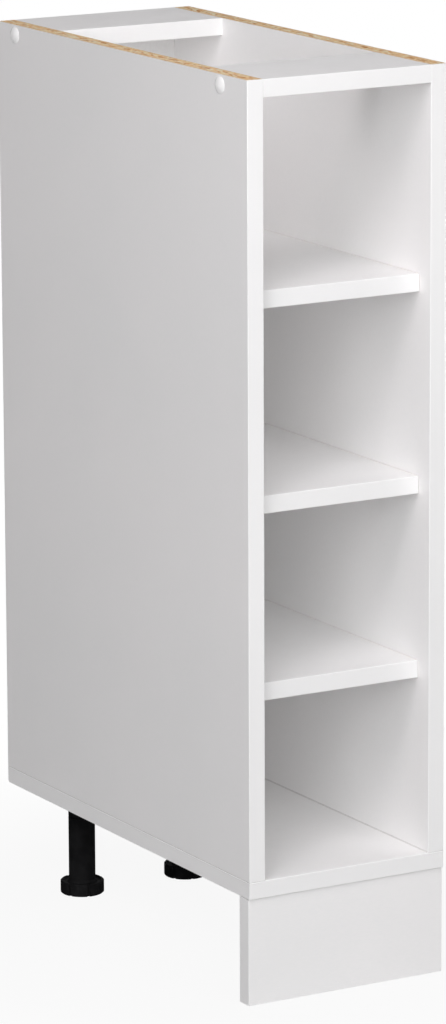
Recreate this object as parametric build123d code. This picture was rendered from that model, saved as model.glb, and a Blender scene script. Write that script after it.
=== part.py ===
from build123d import *
import os

# A narrow open-fronted kitchen base unit: a carcass of white faced chipboard with two top rails, three loose
# shelves on plug-in supports, a nailed hardboard back, a clip-on plinth and four screw-adjusted plastic legs.
# X runs to the right, Y to the back and Z up, in millimetres. The origin is on the floor under the middle.

# Overall sizes
UNIT_WIDTH = 200.0  # over the two side panels
UNIT_HEIGHT = 820.0  # floor to the top edges
CARCASS_DEPTH = 450.0  # front edge bands to the rear edges of the side panels
LEG_HEIGHT = 98.0  # floor to the underside of the bottom panel

# Boards and edge bands
BOARD = 16.0  # chipboard thickness
EDGING = 1.0  # edge band thickness
EDGING_ARRIS = 0.8  # rounding along the outer corners of an edge band
RAIL_DEPTH = 90.0  # front to back, band included
BACK_THICKNESS = 3.0
BACK_INSET = 1.0  # back panel's margin inside the carcass outline

# Shelves, each placed by the drop of its top face below the unit's top
UPPER_SHELF_DROP = 185.5
MIDDLE_SHELF_DROP = 366.0
LOWER_SHELF_DROP = 533.0
SHELF_SETBACK = 18.0  # from the carcass front
SHELF_SIDE_GAP = 0.5
SHELF_REAR_GAP = 2.0
SHELF_SEAT_GAP = 0.2  # running gap over the supports

# Shelf supports: an angle with a gusset and a round peg
PEG_DIAMETER = 5.0
PEG_LENGTH = 10.0
PEG_DROP = 5.5  # peg axis below the seat
SUPPORT_REACH = 10.0
SUPPORT_HEIGHT = 11.0
SUPPORT_WIDTH = 9.0
SUPPORT_PLATE = 1.5
SUPPORT_GUSSET = 2.0
SUPPORT_GUSSET_MARGIN = 1.0  # gusset ends short of the tongue and the plate
SUPPORT_TONGUE_RADIUS = 3.0
SUPPORT_FRONT_INSET = 88.0  # from the carcass front
SUPPORT_REAR_INSET = 50.0  # from the rear edge of the sides

# Connecting screws for chipboard, their cover caps and the dowels beside them
SCREW_LENGTH = 50.0
SCREW_HEAD_DIAMETER = 10.0
SCREW_HEAD_HEIGHT = 3.0
SCREW_SHANK_DIAMETER = 7.0
SCREW_SHANK_LENGTH = 13.0  # head included
SCREW_CORE_DIAMETER = 5.0
SCREW_TIP = 3.0
SCREW_POINT_DIAMETER = 1.6
SCREW_KEY_WIDTH = 4.0  # hexagon across its flats
SCREW_KEY_DEPTH = 2.8
CAP_DIAMETER = 15.5
CAP_RISE = 3.2
CAP_RIM = 0.5
CAP_PEG_DIAMETER = 3.6
CAP_PEG_LENGTH = 2.4
DOWEL_DIAMETER = 8.0
DOWEL_LENGTH = 30.0
DOWEL_CHAMFER = 1.0
DOWEL_ENTRY = 11.0  # the part of the dowel in the face of a board
RAIL_SCREW_DROP = 9.5  # below the unit's top
FRONT_RAIL_SCREW_INSET = 46.0  # from the carcass front
REAR_RAIL_SCREW_INSET = 31.0  # from the rear edge of the sides
RAIL_DOWEL_SPACING = 28.0  # from the screw, towards the middle of the unit
BOTTOM_SCREW_INSET = 60.0  # from the front and from the rear edge
BOTTOM_DOWEL_SPACING = 55.0  # from the screw, towards the middle of the unit

# Nails of the back panel
NAIL_DIAMETER = 1.8
NAIL_LENGTH = 18.0
NAIL_HEAD_DIAMETER = 3.6
NAIL_HEAD_HEIGHT = 0.8
NAIL_END_INSET = 40.0  # of the first and last nail from the ends of the side panel
NAILS_PER_SIDE = 5

# Legs: socket with flange and spindle, tube, lobed foot
LEG_SIDE_INSET = 44.0  # leg axis from the outer face of the side
FRONT_LEG_INSET = 45.0  # from the carcass front
REAR_LEG_INSET = 62.0  # from the rear edge of the sides
LEG_DIAMETER = 25.0
LEG_ARRIS = 0.6  # chamfer on both sides of the joint ring
FLANGE_DIAMETER = 54.0
FLANGE_THICKNESS = 4.0
SLEEVE_LENGTH = 23.5  # underside of the carcass to the joint ring
GUSSET_THICKNESS = 2.2
GUSSET_REACH = 9.0
GUSSET_DROP = 12.0
RIB_ROOT = 1.0  # how far a rib runs into the walls that it joins
SPINDLE_DIAMETER = 17.0
SPINDLE_END_GAP = 2.0
SPINDLE_CHAMFER = 1.0
TUBE_FLOOR = 6.0  # solid plastic under the tube's bore
TUBE_FLARE = 1.6
TUBE_FLARE_HEIGHT = 3.2
STUB_DIAMETER = 15.0
STUB_LENGTH = 7.5
FOOT_DIAMETER = 41.0
FOOT_HEIGHT = 12.0
FOOT_ARRIS = 0.9
FOOT_LOBES = 7
FOOT_PHASE = 2.0  # turn of the first notch from +X, in degrees
NOTCH_WIDTH = 2.8
NOTCH_DEPTH = 2.4
DISH_DEPTH = 1.0
RIM_WIDTH = 3.4
HOLLOW_DEPTH = 6.5  # of the ring-shaped hollow under the foot
FOOT_HUB_WALL = 2.2
FOOT_WALL = 3.6
FOOT_RIB = 1.6
FOOT_RIB_RECESS = 0.8  # ribs stay clear of the floor

# Wood screws of the leg sockets and plinth clips
WOOD_SCREW_DIAMETER = 3.8
WOOD_SCREW_LENGTH = 14.0
WOOD_SCREW_HEAD = 7.4
WOOD_SCREW_HEAD_HEIGHT = 2.2
WOOD_SCREW_TIP = 3.0
FLANGE_SCREWS = 4
FLANGE_SCREW_RADIUS = 20.5

# Plinth and its clips
PLINTH_SETBACK = 2.0  # from the carcass front
PLINTH_TOP_GAP = 0.4
PLINTH_FLOOR_GAP = 1.0
CLIP_DROP = 48.0  # middle of the clip below the carcass
CLIP_HEIGHT = 20.0
CLIP_BASE_WIDTH = 48.0
CLIP_BASE = 3.0
CLIP_JAW = 3.0
CLIP_ARM = 8.0  # straight arms past the leg axis
CLIP_NECK = 16.0
CLIP_FILLET = 2.0  # where the neck meets the base and the jaws
CLIP_TIP = 1.2  # rounding of the arm ends
CLIP_SCREW_SPACING = 37.0

# Clearances
FIT_GAP = 0.1  # round screws, dowels, pegs and nails, on the radius
END_GAP = 0.5  # past the end of each of those
RUNNING_GAP = 0.3  # between plastic pieces that turn, slide or clip on each other

# Places worked out from the sizes above
HALF_WIDTH = UNIT_WIDTH / 2
INNER_HALF = HALF_WIDTH - BOARD
FRONT = -(CARCASS_DEPTH + BACK_THICKNESS) / 2
REAR = FRONT + CARCASS_DEPTH
BACK_FACE = REAR + BACK_THICKNESS
FLOOR_OF_CARCASS = LEG_HEIGHT
FLOOR_OF_SIDES = LEG_HEIGHT + BOARD
RAIL_UNDERSIDE = UNIT_HEIGHT - BOARD
PLINTH_FRONT = FRONT + PLINTH_SETBACK
PLINTH_REAR = PLINTH_FRONT + BOARD
PLINTH_TOP = LEG_HEIGHT - PLINTH_TOP_GAP
SIDES = {"left": -1, "right": 1}
SHELF_DROPS = {"upper": UPPER_SHELF_DROP, "middle": MIDDLE_SHELF_DROP, "lower": LOWER_SHELF_DROP}
LEG_ROWS = {"front": FRONT + FRONT_LEG_INSET, "rear": REAR - REAR_LEG_INSET}
UP, FORWARD = (0, 0, 1), (0, -1, 0)


# Tools for making and placing solids


def block(x_from, x_to, y_from, y_to, z_from, z_to):
    """A rectangular board between two corners."""
    size = (x_to - x_from, y_to - y_from, z_to - z_from)
    return Pos(x_from, y_from, z_from) * Box(*size, align=(Align.MIN, Align.MIN, Align.MIN))


def turned(outline):
    """A solid of revolution about Z from a closed outline of (radius, height) points."""
    return revolve(make_face(Plane.XZ * Polyline(*outline, close=True)), Axis.Z)


def placed(piece, place):
    """A piece moved so that its +Z axis starts at the place's point and runs along its direction.

    Where that direction is level, the piece's +Y axis points up.
    """
    point, direction = place
    sideways = Vector(*UP).cross(Vector(*direction))
    return Plane(origin=point, x_dir=sideways if sideways.length else (1, 0, 0), z_dir=direction) * piece


def group(piece, places):
    """The same piece at several places, as separate solids of one node."""
    solids = []
    for place in places:
        solids += placed(piece, place).solids()
    return Compound(solids)


def drilled(board, cutter, places):
    """A board with the cutter taken out of it at each place."""
    for place in places:
        board -= placed(cutter, place)
    return board


def banded_edge(strip, axis, outer_faces):
    """An edge band with the long corners of its outer face rounded."""
    outer = strip.faces().sort_by(outer_faces)[-1]
    return fillet(outer.edges().filter_by(axis), EDGING_ARRIS)


# Fasteners, each drawn from its head at Z = 0 into the work along +Z; grow makes the matching hole


def connecting_screw(grow=0.0):
    """Countersunk connecting screw with a plain shank and a thinner threaded end."""
    head = SCREW_HEAD_DIAMETER / 2 + grow
    shank = SCREW_SHANK_DIAMETER / 2 + grow
    core = SCREW_CORE_DIAMETER / 2 + grow
    outline = [(0, 0), (head, 0), (shank, SCREW_HEAD_HEIGHT), (shank, SCREW_SHANK_LENGTH + grow)]
    outline += [(core, SCREW_SHANK_LENGTH + grow)]
    if grow:
        end = SCREW_LENGTH + END_GAP
        return turned(outline + [(core, end), (0, end)])
    outline += [(core, SCREW_LENGTH - SCREW_TIP), (SCREW_POINT_DIAMETER / 2, SCREW_LENGTH), (0, SCREW_LENGTH)]
    key = RegularPolygon(SCREW_KEY_WIDTH / 2, 6, major_radius=False)
    return turned(outline) - extrude(key, SCREW_KEY_DEPTH)


def dowel(grow=0.0):
    """Wooden dowel with chamfered ends, from one end along +Z."""
    radius = DOWEL_DIAMETER / 2 + grow
    start = -END_GAP if grow else 0.0
    end = DOWEL_LENGTH - start
    if grow:
        return Pos(0, 0, start) * Cylinder(radius, end - start, align=(Align.CENTER, Align.CENTER, Align.MIN))
    chamfered = radius - DOWEL_CHAMFER
    outline = [(0, 0), (chamfered, 0), (radius, DOWEL_CHAMFER), (radius, end - DOWEL_CHAMFER)]
    return turned(outline + [(chamfered, end), (0, end)])


def nail(grow=0.0):
    """Flat-headed panel nail, its head let in flush."""
    head = NAIL_HEAD_DIAMETER / 2 + grow
    shank = NAIL_DIAMETER / 2 + grow
    neck = NAIL_HEAD_HEIGHT + grow
    end = NAIL_LENGTH + (END_GAP if grow else 0.0)
    return turned([(0, 0), (head, 0), (head, neck), (shank, neck), (shank, end), (0, end)])


def wood_screw(grow=0.0):
    """Countersunk wood screw."""
    head = WOOD_SCREW_HEAD / 2 + grow
    shank = WOOD_SCREW_DIAMETER / 2 + grow
    outline = [(0, 0), (head, 0), (shank, WOOD_SCREW_HEAD_HEIGHT)]
    if grow:
        end = WOOD_SCREW_LENGTH + END_GAP
        return turned(outline + [(shank, end), (0, end)])
    outline += [(shank, WOOD_SCREW_LENGTH - WOOD_SCREW_TIP), (SCREW_POINT_DIAMETER / 2, WOOD_SCREW_LENGTH)]
    return turned(outline + [(0, WOOD_SCREW_LENGTH)])


def cover_cap():
    """Domed cap with a peg that plugs into the screw's key hole."""
    radius = CAP_DIAMETER / 2
    peg = CAP_PEG_DIAMETER / 2
    apex, rim = (0, -CAP_RISE), (radius, -CAP_RIM)
    base = Polyline(apex, (0, CAP_PEG_LENGTH), (peg, CAP_PEG_LENGTH), (peg, 0), (radius, 0), rim)
    dome = TangentArc(apex, rim, tangent=(1, 0))
    return revolve(make_face(Plane.XZ * (base + dome)), Axis.Z)


def shelf_support():
    """Angle support: its peg runs along +Z, its tongue points to -Z and the shelf lies on its +Y side."""
    foot_of_plate = PEG_DROP - SUPPORT_HEIGHT
    underside = PEG_DROP - SUPPORT_PLATE
    angle = [(0, PEG_DROP), (-SUPPORT_REACH, PEG_DROP), (-SUPPORT_REACH, underside)]
    angle += [(-SUPPORT_PLATE, underside), (-SUPPORT_PLATE, foot_of_plate), (0, foot_of_plate)]
    gusset = [(-SUPPORT_PLATE, underside), (SUPPORT_GUSSET_MARGIN - SUPPORT_REACH, underside)]
    gusset += [(-SUPPORT_PLATE, foot_of_plate + SUPPORT_GUSSET_MARGIN)]
    side_view = Plane(origin=(0, 0, 0), x_dir=(0, 0, 1), z_dir=(1, 0, 0))
    body = extrude(make_face(side_view * Polyline(*angle, close=True)), SUPPORT_WIDTH / 2, both=True)
    tip = body.faces().sort_by(Axis.Z)[0]
    body = fillet(tip.edges().filter_by(Axis.Y), SUPPORT_TONGUE_RADIUS)
    body += extrude(make_face(side_view * Polyline(*gusset, close=True)), SUPPORT_GUSSET / 2, both=True)
    peg = Cylinder(PEG_DIAMETER / 2, PEG_LENGTH, align=(Align.CENTER, Align.CENTER, Align.MIN))
    return body + peg


# Places of the fasteners, as (point, direction) pairs


def rail_screw_places(side):
    """Connecting screws through one side panel into the ends of both rails."""
    height = UNIT_HEIGHT - RAIL_SCREW_DROP
    rows = (FRONT + FRONT_RAIL_SCREW_INSET, REAR - REAR_RAIL_SCREW_INSET)
    return [((side * HALF_WIDTH, y, height), (-side, 0, 0)) for y in rows]


def rail_dowel_places(side):
    """Dowels beside those screws, starting inside the side panel."""
    start = side * (INNER_HALF + DOWEL_ENTRY)
    height = UNIT_HEIGHT - BOARD / 2
    front_row = FRONT + FRONT_RAIL_SCREW_INSET + RAIL_DOWEL_SPACING
    rear_row = REAR - REAR_RAIL_SCREW_INSET - RAIL_DOWEL_SPACING
    return [((start, y, height), (-side, 0, 0)) for y in (front_row, rear_row)]


def bottom_screw_places(side):
    """Connecting screws up through the bottom panel into the foot of one side panel."""
    x = side * (HALF_WIDTH - BOARD / 2)
    rows = (FRONT + BOTTOM_SCREW_INSET, REAR - BOTTOM_SCREW_INSET)
    return [((x, y, FLOOR_OF_CARCASS), UP) for y in rows]


def bottom_dowel_places(side):
    """Dowels between the bottom panel and one side panel."""
    x = side * (HALF_WIDTH - BOARD / 2)
    inset = BOTTOM_SCREW_INSET + BOTTOM_DOWEL_SPACING
    return [((x, y, FLOOR_OF_SIDES - DOWEL_ENTRY), UP) for y in (FRONT + inset, REAR - inset)]


def support_places(side, drop):
    """Pegs of the two shelf supports on one side, their seats just under the shelf."""
    height = UNIT_HEIGHT - drop - BOARD - SHELF_SEAT_GAP - PEG_DROP
    rows = (FRONT + SUPPORT_FRONT_INSET, REAR - SUPPORT_REAR_INSET)
    return [((side * INNER_HALF, y, height), (side, 0, 0)) for y in rows]


def side_nail_places(side):
    """Nails through the back into the rear edge of one side panel, evenly spaced."""
    lowest = FLOOR_OF_SIDES + NAIL_END_INSET
    step = (UNIT_HEIGHT - NAIL_END_INSET - lowest) / (NAILS_PER_SIDE - 1)
    x = side * (HALF_WIDTH - BOARD / 2)
    return [((x, BACK_FACE, lowest + step * i), FORWARD) for i in range(NAILS_PER_SIDE)]


def flange_screw_places(x, y):
    """Wood screws round one leg socket's flange."""
    ring = PolarLocations(FLANGE_SCREW_RADIUS, FLANGE_SCREWS, start_angle=45)
    level = FLOOR_OF_CARCASS - FLANGE_THICKNESS
    return [((x + spot.position.X, y + spot.position.Y, level), UP) for spot in ring]


def clip_screw_places(x):
    """Two screws through one clip's base into the plinth."""
    height = FLOOR_OF_CARCASS - CLIP_DROP
    offsets = (-CLIP_SCREW_SPACING / 2, CLIP_SCREW_SPACING / 2)
    return [((x + offset, PLINTH_REAR + CLIP_BASE, height), FORWARD) for offset in offsets]


def on_both_sides(places_of_side, *sizes):
    """The places of a fastener on the left and the right."""
    return [place for side in SIDES.values() for place in places_of_side(side, *sizes)]


RAIL_NAIL = ((0, BACK_FACE, UNIT_HEIGHT - BOARD / 2), FORWARD)
BOTTOM_NAIL = ((0, BACK_FACE, FLOOR_OF_CARCASS + BOARD / 2), FORWARD)


# Carcass


def side_panel(side):
    """One side panel, standing on the bottom panel, with every hole drilled in it."""
    inner, outer = sorted((side * INNER_HALF, side * HALF_WIDTH))
    board = block(inner, outer, FRONT + EDGING, REAR, FLOOR_OF_SIDES, UNIT_HEIGHT)
    board = drilled(board, connecting_screw(FIT_GAP), rail_screw_places(side) + bottom_screw_places(side))
    board = drilled(board, dowel(FIT_GAP), rail_dowel_places(side) + bottom_dowel_places(side))
    board = drilled(board, nail(FIT_GAP), side_nail_places(side))
    peg_hole = Cylinder(
        PEG_DIAMETER / 2 + FIT_GAP, PEG_LENGTH + END_GAP, align=(Align.CENTER, Align.CENTER, Align.MIN)
    )
    for drop in SHELF_DROPS.values():
        board = drilled(board, peg_hole, support_places(side, drop))
    return board


def side_edging(side):
    """Band on the front edge of one side panel."""
    inner, outer = sorted((side * INNER_HALF, side * HALF_WIDTH))
    strip = block(inner, outer, FRONT, FRONT + EDGING, FLOOR_OF_SIDES, UNIT_HEIGHT)
    return banded_edge(strip, Axis.Z, -Axis.Y)


def rail(front, screw_row):
    """One flat top rail between the sides, its band left off; screw_row picks its fasteners."""
    board = block(-INNER_HALF, INNER_HALF, front + EDGING, front + RAIL_DEPTH, RAIL_UNDERSIDE, UNIT_HEIGHT)
    for side in SIDES.values():
        board = drilled(board, connecting_screw(FIT_GAP), rail_screw_places(side)[screw_row:][:1])
        board = drilled(board, dowel(FIT_GAP), rail_dowel_places(side)[screw_row:][:1])
    return board


def rail_edging(front):
    """Band on the front edge of one rail."""
    strip = block(-INNER_HALF, INNER_HALF, front, front + EDGING, RAIL_UNDERSIDE, UNIT_HEIGHT)
    return banded_edge(strip, Axis.X, -Axis.Y)


def bottom_panel():
    """Full-width bottom panel under the sides, drilled for screws, dowels, legs and the back."""
    half = HALF_WIDTH - EDGING
    board = block(-half, half, FRONT + EDGING, REAR, FLOOR_OF_CARCASS, FLOOR_OF_SIDES)
    for side in SIDES.values():
        board = drilled(board, connecting_screw(FIT_GAP), bottom_screw_places(side))
        board = drilled(board, dowel(FIT_GAP), bottom_dowel_places(side))
        for y in LEG_ROWS.values():
            x = side * (HALF_WIDTH - LEG_SIDE_INSET)
            board = drilled(board, wood_screw(FIT_GAP), flange_screw_places(x, y))
    return drilled(board, nail(FIT_GAP), [BOTTOM_NAIL])


def bottom_edging():
    """Bands on the front and both ends of the bottom panel."""
    front = block(-HALF_WIDTH, HALF_WIDTH, FRONT, FRONT + EDGING, FLOOR_OF_CARCASS, FLOOR_OF_SIDES)
    strips = [fillet(front.faces().sort_by(-Axis.Y)[-1].edges(), EDGING_ARRIS)]
    for side in SIDES.values():
        inner, outer = sorted((side * (HALF_WIDTH - EDGING), side * HALF_WIDTH))
        strip = block(inner, outer, FRONT + EDGING, REAR, FLOOR_OF_CARCASS, FLOOR_OF_SIDES)
        strips.append(banded_edge(strip, Axis.Y, Axis.X if side > 0 else -Axis.X))
    return Compound([solid for strip in strips for solid in strip.solids()])


def back_panel():
    """Thin back laid over the rear edges of the carcass, with let-in nail holes."""
    half = HALF_WIDTH - BACK_INSET
    board = block(-half, half, REAR, BACK_FACE, FLOOR_OF_CARCASS + BACK_INSET, UNIT_HEIGHT - BACK_INSET)
    return drilled(board, nail(FIT_GAP), on_both_sides(side_nail_places) + [RAIL_NAIL, BOTTOM_NAIL])


# Shelves


def shelf(drop):
    """One loose shelf, its band left off."""
    half = INNER_HALF - SHELF_SIDE_GAP
    top = UNIT_HEIGHT - drop
    return block(-half, half, FRONT + SHELF_SETBACK + EDGING, REAR - SHELF_REAR_GAP, top - BOARD, top)


def shelf_edging(drop):
    """Band on the front edge of one shelf."""
    half = INNER_HALF - SHELF_SIDE_GAP
    top = UNIT_HEIGHT - drop
    front = FRONT + SHELF_SETBACK
    return banded_edge(block(-half, half, front, front + EDGING, top - BOARD, top), Axis.X, -Axis.Y)


# Legs, drawn about their own axis and then placed


def leg_socket():
    """Screw-on flange with a ribbed sleeve and the spindle that the tube turns on."""
    radius = LEG_DIAMETER / 2
    ring = LEG_HEIGHT - SLEEVE_LENGTH
    spindle = SPINDLE_DIAMETER / 2
    spindle_end = FOOT_HEIGHT - DISH_DEPTH + RUNNING_GAP + TUBE_FLOOR + SPINDLE_END_GAP
    flange_face = LEG_HEIGHT - FLANGE_THICKNESS
    outline = [(0, LEG_HEIGHT), (FLANGE_DIAMETER / 2, LEG_HEIGHT), (FLANGE_DIAMETER / 2, flange_face)]
    outline += [(radius, flange_face), (radius, ring + LEG_ARRIS), (radius - LEG_ARRIS, ring)]
    outline += [(spindle, ring), (spindle, spindle_end + SPINDLE_CHAMFER)]
    outline += [(spindle - SPINDLE_CHAMFER, spindle_end), (0, spindle_end)]
    socket = turned(outline)
    root = radius - RIB_ROOT
    rib_outline = [(root, flange_face), (radius + GUSSET_REACH, flange_face)]
    rib_outline += [(radius, flange_face - GUSSET_DROP), (root, flange_face - GUSSET_DROP)]
    rib = extrude(make_face(Plane.XZ * Polyline(*rib_outline, close=True)), GUSSET_THICKNESS / 2, both=True)
    for turn in PolarLocations(0, FLANGE_SCREWS):
        socket += turn * rib
    return drilled(socket, wood_screw(FIT_GAP), flange_screw_places(0, 0))


def leg_tube():
    """Plain tube that screws up and down on the spindle, flared where it meets the foot."""
    radius = LEG_DIAMETER / 2
    top = LEG_HEIGHT - SLEEVE_LENGTH - RUNNING_GAP
    seat = FOOT_HEIGHT - DISH_DEPTH + RUNNING_GAP
    bore = SPINDLE_DIAMETER / 2 + RUNNING_GAP
    stub = STUB_DIAMETER / 2
    flare = radius + TUBE_FLARE
    inside = Polyline(
        (flare, seat),
        (stub, seat),
        (stub, seat - STUB_LENGTH),
        (0, seat - STUB_LENGTH),
        (0, seat + TUBE_FLOOR),
        (bore, seat + TUBE_FLOOR),
        (bore, top),
        (radius - LEG_ARRIS, top),
        (radius, top - LEG_ARRIS),
        (radius, seat + TUBE_FLARE_HEIGHT),
    )
    curve = TangentArc((radius, seat + TUBE_FLARE_HEIGHT), (flare, seat), tangent=(0, -1))
    return revolve(make_face(Plane.XZ * (inside + curve)), Axis.Z)


def leg_foot():
    """Lobed foot with a dished top, a bored hub and a ribbed hollow underneath."""
    radius = FOOT_DIAMETER / 2
    dish = radius - RIM_WIDTH
    bore = STUB_DIAMETER / 2 + RUNNING_GAP
    bore_floor = FOOT_HEIGHT - DISH_DEPTH - STUB_LENGTH
    dish_floor = FOOT_HEIGHT - DISH_DEPTH
    hub = bore + FOOT_HUB_WALL
    hollow = radius - FOOT_WALL
    outline = [(0, 0), (hub, 0), (hub, HOLLOW_DEPTH), (hollow, HOLLOW_DEPTH), (hollow, 0)]
    outline += [(radius - FOOT_ARRIS, 0), (radius, FOOT_ARRIS), (radius, FOOT_HEIGHT - FOOT_ARRIS)]
    outline += [(radius - FOOT_ARRIS, FOOT_HEIGHT)]
    outline += [(dish + DISH_DEPTH, FOOT_HEIGHT), (dish, dish_floor), (bore, dish_floor), (bore, bore_floor)]
    foot = turned(outline + [(0, bore_floor)])
    rib_top = HOLLOW_DEPTH + RIB_ROOT
    rib = block(hub - RIB_ROOT, hollow + RIB_ROOT, -FOOT_RIB / 2, FOOT_RIB / 2, FOOT_RIB_RECESS, rib_top)
    notch_centre = radius - NOTCH_DEPTH + NOTCH_WIDTH / 2
    mouth = Pos(notch_centre + radius / 2, 0) * Rectangle(radius, NOTCH_WIDTH)
    notch = extrude(Pos(notch_centre, 0) * Circle(NOTCH_WIDTH / 2) + mouth, FOOT_HEIGHT)
    pitch = 360 / FOOT_LOBES
    for lobe in range(FOOT_LOBES):
        turn = FOOT_PHASE + pitch * lobe
        foot += Rot(0, 0, turn + pitch / 2) * rib
        foot -= Rot(0, 0, turn) * notch
    return foot


# Plinth


def plinth_panel():
    """Plinth board hung on the front legs, its end bands left off."""
    half = HALF_WIDTH - EDGING
    board = block(-half, half, PLINTH_FRONT, PLINTH_REAR, PLINTH_FLOOR_GAP, PLINTH_TOP)
    for side in SIDES.values():
        places = clip_screw_places(side * (HALF_WIDTH - LEG_SIDE_INSET))
        board = drilled(board, wood_screw(FIT_GAP), places)
    return board


def plinth_edging():
    """Bands on both ends of the plinth."""
    strips = []
    for side in SIDES.values():
        inner, outer = sorted((side * (HALF_WIDTH - EDGING), side * HALF_WIDTH))
        strip = block(inner, outer, PLINTH_FRONT, PLINTH_REAR, PLINTH_FLOOR_GAP, PLINTH_TOP)
        strips += banded_edge(strip, Axis.Z, Axis.X if side > 0 else -Axis.X).solids()
    return Compound(strips)


def plinth_clip(x):
    """Open-jawed clip from the plinth's rear face round one front leg."""
    grip = LEG_DIAMETER / 2 + RUNNING_GAP
    jaw = grip + CLIP_JAW
    leg_y = LEG_ROWS["front"]
    base_front = PLINTH_REAR - leg_y
    base = Pos(0, base_front + CLIP_BASE / 2) * Rectangle(CLIP_BASE_WIDTH, CLIP_BASE)
    neck = Pos(0, base_front / 2) * Rectangle(CLIP_NECK, -base_front)
    arms = Pos(0, CLIP_ARM / 2) * Rectangle(2 * jaw, CLIP_ARM)
    mouth = Pos(0, CLIP_ARM / 2) * Rectangle(2 * grip, CLIP_ARM)
    open_side = Pos(0, CLIP_ARM + jaw / 2) * Rectangle(2 * jaw, jaw)
    plan = base + neck + Circle(jaw) + arms - Circle(grip) - mouth - open_side
    neck_corners = plan.vertices().filter_by(lambda spot: abs(abs(spot.X) - CLIP_NECK / 2) < CLIP_TIP)
    plan = fillet(neck_corners, CLIP_FILLET)
    plan = fillet(plan.vertices().group_by(Axis.Y)[-1], CLIP_TIP)
    clip = Pos(x, leg_y, FLOOR_OF_CARCASS - CLIP_DROP - CLIP_HEIGHT / 2) * extrude(plan, CLIP_HEIGHT)
    return drilled(clip, wood_screw(FIT_GAP), clip_screw_places(x))


# Assembly: every node by name

nodes = {}
for name, side in SIDES.items():
    nodes[f"{name}_side_panel"] = side_panel(side)
    nodes[f"{name}_side_front_edging"] = side_edging(side)
for row, (name, front) in enumerate({"front": FRONT, "rear": REAR - RAIL_DEPTH}.items()):
    nodes[f"{name}_top_rail"] = rail(front, row)
    nodes[f"{name}_rail_edging"] = rail_edging(front)
nodes["rear_top_rail"] = drilled(nodes["rear_top_rail"], nail(FIT_GAP), [RAIL_NAIL])
nodes["bottom_panel"] = bottom_panel()
nodes["bottom_panel_edging"] = bottom_edging()
nodes["back_panel"] = back_panel()

nodes["rail_screws"] = group(connecting_screw(), on_both_sides(rail_screw_places))
nodes["screw_cover_caps"] = group(cover_cap(), on_both_sides(rail_screw_places))
nodes["rail_dowels"] = group(dowel(), on_both_sides(rail_dowel_places))
nodes["bottom_screws"] = group(connecting_screw(), on_both_sides(bottom_screw_places))
nodes["bottom_dowels"] = group(dowel(), on_both_sides(bottom_dowel_places))
nodes["back_panel_nails"] = group(nail(), on_both_sides(side_nail_places) + [RAIL_NAIL, BOTTOM_NAIL])

for name, drop in SHELF_DROPS.items():
    nodes[f"shelf_{name}"] = shelf(drop)
    nodes[f"shelf_{name}_edging"] = shelf_edging(drop)
    nodes[f"shelf_{name}_supports"] = group(shelf_support(), on_both_sides(support_places, drop))

socket_screw_places = []
for row, y in LEG_ROWS.items():
    for name, side in SIDES.items():
        x = side * (HALF_WIDTH - LEG_SIDE_INSET)
        nodes[f"leg_{row}_{name}_socket"] = Pos(x, y, 0) * leg_socket()
        nodes[f"leg_{row}_{name}_tube"] = Pos(x, y, 0) * leg_tube()
        nodes[f"leg_{row}_{name}_foot"] = Pos(x, y, 0) * leg_foot()
        socket_screw_places += flange_screw_places(x, y)
nodes["leg_socket_screws"] = group(wood_screw(), socket_screw_places)

nodes["plinth_panel"] = plinth_panel()
nodes["plinth_end_edging"] = plinth_edging()
clip_places = []
for name, side in SIDES.items():
    x = side * (HALF_WIDTH - LEG_SIDE_INSET)
    nodes[f"plinth_clip_{name}"] = plinth_clip(x)
    clip_places += clip_screw_places(x)
nodes["plinth_clip_screws"] = group(wood_screw(), clip_places)

os.makedirs("parts", exist_ok=True)
for name, shape in nodes.items():
    export_step(shape, f"parts/{name}.step")
print(len(nodes), "nodes written")
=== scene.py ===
"""Kitchen shelf unit: finishes, fine detail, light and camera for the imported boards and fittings."""

import logging
import math
from dataclasses import dataclass, field
from enum import Enum
from typing import Callable, Sequence, Union

import bmesh
import bpy
from mathutils import Matrix, Vector

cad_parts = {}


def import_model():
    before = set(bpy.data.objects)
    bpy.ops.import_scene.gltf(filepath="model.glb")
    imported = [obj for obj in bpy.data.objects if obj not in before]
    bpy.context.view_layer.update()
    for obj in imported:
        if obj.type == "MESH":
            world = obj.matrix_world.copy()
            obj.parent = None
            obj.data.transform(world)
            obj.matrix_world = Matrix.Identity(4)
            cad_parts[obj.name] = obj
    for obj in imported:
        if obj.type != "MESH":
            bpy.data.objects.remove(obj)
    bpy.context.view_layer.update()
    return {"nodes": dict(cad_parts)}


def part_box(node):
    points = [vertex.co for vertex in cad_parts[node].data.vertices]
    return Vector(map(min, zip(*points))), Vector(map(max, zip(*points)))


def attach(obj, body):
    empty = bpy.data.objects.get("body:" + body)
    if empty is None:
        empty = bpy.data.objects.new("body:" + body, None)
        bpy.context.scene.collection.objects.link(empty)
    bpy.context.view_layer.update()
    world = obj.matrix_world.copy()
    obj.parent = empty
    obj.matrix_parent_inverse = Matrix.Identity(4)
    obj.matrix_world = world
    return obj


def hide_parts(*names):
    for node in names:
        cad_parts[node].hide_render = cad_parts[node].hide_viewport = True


frame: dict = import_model()

LOG = logging.getLogger("shelf_unit")
MM = 0.001
WARM_WHITE = (1.0, 0.965, 0.98)

# A face whose middle is this near to a board's outer plane lies in that plane.
FACE_REACH = 0.02 * MM

# Faces that meet at less than this angle are shaded as one curve.
SMOOTH_ANGLE = math.radians(35.0)

# Which way each side panel faces, left then right.
SIDE_SIGNS = (-1.0, 1.0)

# Soft noise and the tone of wood chips lie mostly in these ranges.
SOFT_NOISE = (0.3, 0.7)
CHIP_TONES = (0.2, 0.8)

# A texture with this stretch is the same along all three axes.
EVEN = (1.0, 1.0, 1.0)

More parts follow.
